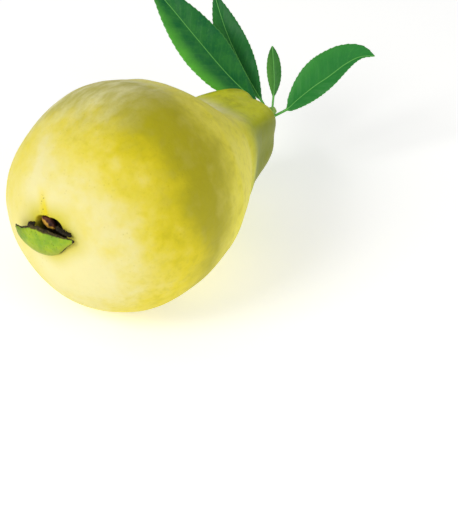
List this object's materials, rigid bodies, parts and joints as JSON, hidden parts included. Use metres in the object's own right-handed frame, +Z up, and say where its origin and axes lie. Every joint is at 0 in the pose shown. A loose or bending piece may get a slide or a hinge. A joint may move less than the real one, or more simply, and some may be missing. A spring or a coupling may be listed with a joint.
{
  "type": "guava",
  "caption": "Whole ripe pear-shaped guava with a blunt ribbed neck, a short leafy stem and a withered calyx, lying on a small flat spot.",
  "frame": {"origin": "on the small flat spot that the fruit rests on, straight below the centre of its round body", "axes": "+X along the longest extent, from the blossom end to the stem end; -Z is the outward normal of the flat spot; +Z up"},
  "size_m": [0.1559, 0.0902, 0.0767],
  "materials": {
    "skin": "satin",
    "sepal": "matte",
    "withered_calyx": "matte",
    "flower_scar": "matte",
    "stem": "matte",
    "leaf": "satin"
  },
  "bodies": {
    "root": {"fruit": "skin", "calyx_sepal": "sepal", "calyx_withered_right": "withered_calyx", "calyx_withered_left": "withered_calyx", "flower_scar": "flower_scar", "stem": "stem", "leaf_broad": "leaf", "leaf_back": "leaf", "leaf_small": "leaf", "leaf_right": "leaf"}
  },
  "joints": []
}
